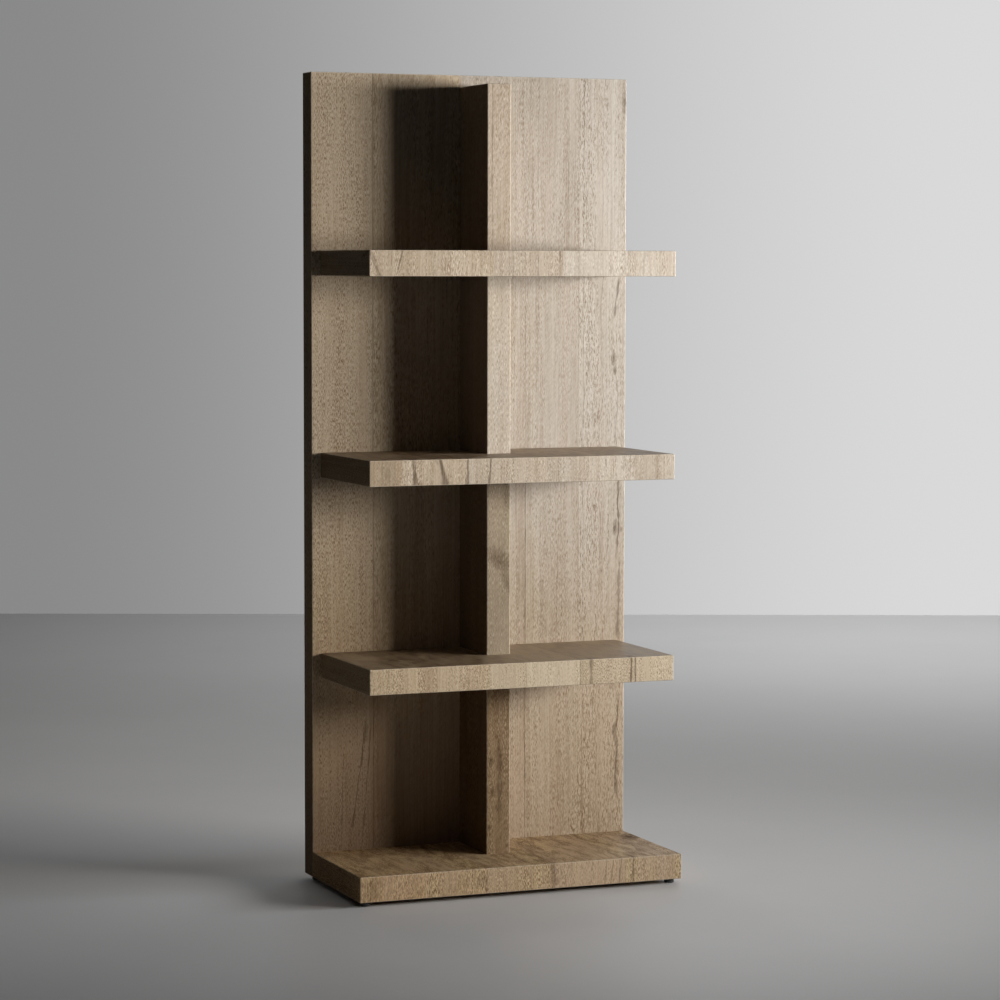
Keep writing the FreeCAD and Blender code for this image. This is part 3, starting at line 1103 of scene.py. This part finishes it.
def finish_member(boards, pieces, box, wood, joints, tones, shade_warmths, seed, grain, exposed):
    """Gives a member's boards their grain and wood, and puts them in the place of their CAD nodes."""
    for node, (board, *_) in boards.items():
        piece = pieces[board]
        smooth_arrises(piece)
        lay_grain(piece, GRAIN_NAMES.get(board, board), box, grain, joints, tones, shade_warmths, seed, exposed)
        piece.data.materials.clear()
        piece.data.materials.append(wood.get(board, wood["face"]))
        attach(piece, "case")
        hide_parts(node)


def bolt_places():
    """Where the connector bolts pass through the panel, across and up."""
    places = []
    for shelf in SHELVES:
        low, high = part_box(shelf + "_front_lipping")
        level = (low.z + high.z) / 2
        for sign in (-1, 1):
            places.append((sign * SHELF_BOLT_FROM_CENTRE, level))
            places.append((sign * (high.x - SHELF_BOLT_FROM_END), level))
    for post in POSTS:
        low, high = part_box(post + "_front_lipping")
        places += [(0.0, low.z + SPINE_BOLT_FROM_END), (0.0, high.z - SPINE_BOLT_FROM_END)]
    return places


def foot_places(*feet):
    """Points on the underside above the given feet."""
    places = []
    for foot in feet:
        low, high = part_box(foot + "_foot_pad")
        places.append(((low.x + high.x) / 2, (low.y + high.y) / 2, panel_box[0].z))
    return places


def dowel_places(level):
    """Points at a level in line with the middles of the spine's rear and front battens."""
    low, high = box_round([POSTS[0] + "_" + board for board in POST_BOARDS])
    batten = high.x * 2 - 2 * SKIN
    return [(0, high.y - batten / 2, level), (0, low.y + SKIN + batten / 2, level)]


# Back panel
panel_boards = {"back_panel_" + board: (board, *cut) for board, cut in PANEL_BOARDS.items()}
panel_box, panel_pieces = make_member(panel_boards, PANEL["exposed"], PANEL["joints"])
rear_holes = [(across, panel_box[1].y, up) for across, up in bolt_places()]
drill(panel_pieces["rear_skin"], rear_holes, "front", BOLT_HEAD_HOLE, BOLT_HEAD_DEPTH)
drill(panel_pieces["rear_skin"], rear_holes, "front", BOLT_HOLE, THROUGH)
front_holes = [(across, panel_box[0].y, up) for across, up in bolt_places()]
drill(panel_pieces["front_skin"], front_holes, "rear", BOLT_HOLE, THROUGH)
rear_feet = foot_places("rear_left", "rear_right")
drill(panel_pieces["bottom_lipping"], rear_feet, "top", FLANGE_HOLE, FLANGE_DEPTH)
drill(panel_pieces["bottom_lipping"], rear_feet, "top", BUSH_HOLE, THROUGH)
finish_member(panel_boards, panel_pieces, panel_box, **PANEL)

# Base and shelves
for shelf, look in SHELVES.items():
    boards = {shelf + "_" + board: (board, *cut) for board, cut in SHELF_BOARDS.items()}
    box, pieces = make_member(boards, OPEN_SHELF, look["joints"])
    drill(pieces["top_skin"], dowel_places(box[1].z), "bottom", DOWEL_HOLE, THROUGH)
    if shelf == "base":
        front_feet = foot_places("front_left", "front_right")
        drill(pieces["underside_skin"], front_feet, "top", FLANGE_HOLE, FLANGE_DEPTH)
        drill(pieces["underside_skin"], front_feet, "top", BUSH_HOLE, THROUGH)
    else:
        drill(pieces["underside_skin"], dowel_places(box[0].z), "top", DOWEL_HOLE, THROUGH)
    finish_member(boards, pieces, box, **look, grain=shelf_grain, exposed=OPEN_SHELF)

# Spine
for level, post in enumerate(POSTS):
    top = ["top"] if post == POSTS[-1] else []
    boards = {post + "_" + board: (board, side, cuts + top) for board, (side, cuts) in POST_BOARDS.items()}
    if top:
        boards["spine_cap"] = CAP
    box, pieces = make_member(boards, OPEN_POST + top, [])
    finish_member(
        boards,
        pieces,
        box,
        wood=spine_woods[level],
        joints=[],
        tones=[0.0],
        shade_warmths=[POST_SHADE_WARMTHS[level]],
        seed=POST_SEED + POST_SEED_STEP * level,
        grain=panel_grain,
        exposed=OPEN_POST + top,
    )


# Feet, fasteners and the frame inside

UNSTRETCHED = (1.0, 1.0, 1.0)
CLOUD_COLOUR_SPAN = (0.35, 0.65)
CLOUD_ROUGHNESS_SPAN = (0.3, 0.7)
CLOUD_BUMP_DEPTH = 0.0003


def plain_finish(name, colours, scale, roughness, metallic=0.0, stretch=UNSTRETCHED, bump=0.1, swing=0.08):
    """A finish in two mottled colours, on the object's own coordinates."""
    material, tree, surface = new_material(name)
    place = vector_sum(tree, "MULTIPLY", put(tree, "TexCoord").outputs["Object"], stretch)
    cloud = use_group(tree, MOTTLE, {"Place": place, "Scale": scale})["Cloud"]
    feed(tree, surface.inputs["Base Color"], mix(tree, ease(tree, cloud, *CLOUD_COLOUR_SPAN), *colours))
    rough = ease(tree, cloud, *CLOUD_ROUGHNESS_SPAN, roughness - swing, roughness + swing)
    feed(tree, surface.inputs["Roughness"], rough)
    relief = put(tree, "Bump", {"Height": cloud, "Strength": bump, "Distance": CLOUD_BUMP_DEPTH})
    feed(tree, surface.inputs["Normal"], relief.outputs[0])
    surface.inputs["Metallic"].default_value = metallic
    return material


black_plastic = plain_finish(
    "black plastic", (colour(24, 24, 25), colour(34, 34, 35)), scale=900.0, roughness=0.55
)
black_steel = plain_finish(
    "black steel", (colour(30, 30, 32), colour(44, 43, 42)), scale=500.0, roughness=0.42, metallic=0.85
)
zinc_steel = plain_finish(
    "zinc steel", (colour(150, 150, 148), colour(176, 175, 170)), scale=500.0, roughness=0.38, metallic=1.0
)
core_wood = plain_finish(
    "core wood",
    (colour(196, 164, 118), colour(172, 138, 94)),
    scale=18.0,
    roughness=0.7,
    stretch=(6.0, 6.0, 1.0),
    bump=0.2,
)
dowel_wood = plain_finish(
    "dowel wood",
    (colour(206, 178, 134), colour(188, 156, 110)),
    scale=40.0,
    roughness=0.65,
    stretch=(8.0, 8.0, 1.0),
    bump=0.2,
)
NODE_FINISHES = {
    "foot_pad": black_plastic,
    "foot_stem": zinc_steel,
    "foot_bushes": zinc_steel,
    "connector_bolts": black_steel,
    "insert_nuts": zinc_steel,
    "dowels": dowel_wood,
}
for name, node in nodes.items():
    if node.hide_render:
        continue
    finish = next((made for ending, made in NODE_FINISHES.items() if name.endswith(ending)), core_wood)
    node.data.materials.clear()
    node.data.materials.append(finish)


# Camera

CAMERA_PLACE = Vector((-2.994, -7.443, 1.5657))
CAMERA_TURN = (-22.041, 85.766, 0.099)
CAMERA_LENS = 114.67
CAMERA_SENSOR = 36.0

camera = bpy.data.cameras.new("camera")
camera.sensor_width = CAMERA_SENSOR
camera.lens = CAMERA_LENS
camera_object = bpy.data.objects.new("camera", camera)
scene.collection.objects.link(camera_object)
pan, tilt, roll = (math.radians(angle) for angle in CAMERA_TURN)
placed = Matrix.Translation(CAMERA_PLACE) @ Matrix.Rotation(pan, 4, "Z")
camera_object.matrix_world = placed @ Matrix.Rotation(tilt, 4, "X") @ Matrix.Rotation(roll, 4, "Z")
scene.camera = camera_object

# Floor, square to the camera

FLOOR_BEHIND = 14.2
FLOOR_BEFORE = 60.0
FLOOR_HALF_WIDTH = 60.0

view_line = Vector((-math.sin(pan), math.cos(pan), 0))
under_camera = Vector((CAMERA_PLACE.x, CAMERA_PLACE.y, 0))
floor_middle = under_camera + view_line * (FLOOR_BEHIND - FLOOR_BEFORE) / 2
bpy.ops.object.select_all(action="DESELECT")
bpy.ops.mesh.primitive_plane_add(size=1, location=floor_middle, rotation=(0, 0, pan))
floor = bpy.context.object
floor.name = "floor"
floor.scale = (2 * FLOOR_HALF_WIDTH, FLOOR_BEHIND + FLOOR_BEFORE, 1)
bpy.ops.object.transform_apply(location=True, rotation=True, scale=True)
floor_finish = plain_finish(
    "pale floor",
    (colour(213, 213, 213), colour(216, 216, 216)),
    scale=1.3,
    roughness=0.5,
    bump=0.0,
    swing=0.01,
)
floor.data.materials.append(floor_finish)

# Lights

WHITE_LIGHT = (1.0, 1.0, 1.0)
WARM_LIGHT = (1.0, 0.955, 0.89)
COOL_LIGHT = (0.96, 1.0, 1.07)


def lamp(name, place, aim, size, watts, spread, tint=WHITE_LIGHT, seen=True):
    """A rectangular lamp at a place, aimed at a point, whose light spreads by so many degrees."""
    light = bpy.data.lights.new(name, "AREA")
    light.shape = "RECTANGLE"
    light.size, light.size_y = size
    light.energy = watts
    light.spread = math.radians(spread)
    light.color = tint
    made = bpy.data.objects.new(name, light)
    made.location = place
    made.rotation_euler = (Vector(aim) - Vector(place)).to_track_quat("-Z", "Y").to_euler()
    scene.collection.objects.link(made)
    if not seen:
        made.visible_camera = False
        made.visible_glossy = False


lamp(
    "key",
    place=(4.06, -2.91, 1.70),
    aim=(0.4, 0.1, 1.65),
    size=(2.0, 1.2),
    watts=36.5,
    spread=60.0,
    tint=WARM_LIGHT,
)
lamp(
    "side key",
    place=(4.29, -1.28, 1.55),
    aim=(0.2, -0.1, 1.60),
    size=(1.2, 1.2),
    watts=26.0,
    spread=64.0,
    tint=COOL_LIGHT,
)
lamp(
    "rear fill",
    place=(3.7, 4.2, 5.0),
    aim=(3.6, 4.2, 0.0),
    size=(3.0, 2.5),
    watts=74.0,
    spread=110.0,
)
lamp(
    "floor light",
    place=(0.1, -1.3, 3.2),
    aim=(0.1, -1.25, 0.0),
    size=(1.2, 1.2),
    watts=1.2,
    spread=40.0,
)
lamp(
    "rear light",
    place=(0.0, 4.6, 1.15),
    aim=(0.0, 0.2, 1.10),
    size=(1.4, 1.6),
    watts=7.0,
    spread=40.0,
    seen=False,
)
lamp(
    "top light",
    place=(0.0, 0.18, 3.0),
    aim=(0.0, 0.18, 0.0),
    size=(0.9, 0.06),
    watts=0.12,
    spread=14.0,
    seen=False,
)

# The world shows a plain backdrop, paler to the right, and lights the object only a little

BACKDROP_DARK = 0.25
BACKDROP_PALE = 0.70
BACKDROP_REACH = 0.16
BACKDROP_FAR_REACH = 0.75
BACKDROP_FAR_LEFT = 0.55
FILL = (0.003, 0.003, 0.0031, 1.0)

world = bpy.data.worlds.new("studio")
scene.world = world
world.use_nodes = True
air = world.node_tree
across_view = (math.cos(pan), math.sin(pan), 0)
looking = put(air, "TexCoord").outputs["Generated"]
sideways = put(air, "VectorMath", {0: looking, 1: across_view}, operation="DOT_PRODUCT").outputs["Value"]
level = ease(air, sideways, -BACKDROP_REACH, BACKDROP_REACH, BACKDROP_DARK, BACKDROP_PALE)
dimmed = ease(air, sideways, -BACKDROP_FAR_REACH, -BACKDROP_REACH, BACKDROP_FAR_LEFT, 1.0)
level = sum_up(air, "MULTIPLY", level, dimmed)
backdrop = put(air, "CombineColor", {"Red": level, "Green": level, "Blue": level}).outputs[0]
path = put(air, "LightPath").outputs
mirrored = sum_up(air, "MAXIMUM", path["Is Glossy Ray"], path["Is Transmission Ray"])
shown = sum_up(air, "MAXIMUM", path["Is Camera Ray"], mirrored)
feed(air, air.nodes["Background"].inputs["Color"], mix(air, shown, FILL, backdrop))

scene.view_settings.view_transform = "Standard"
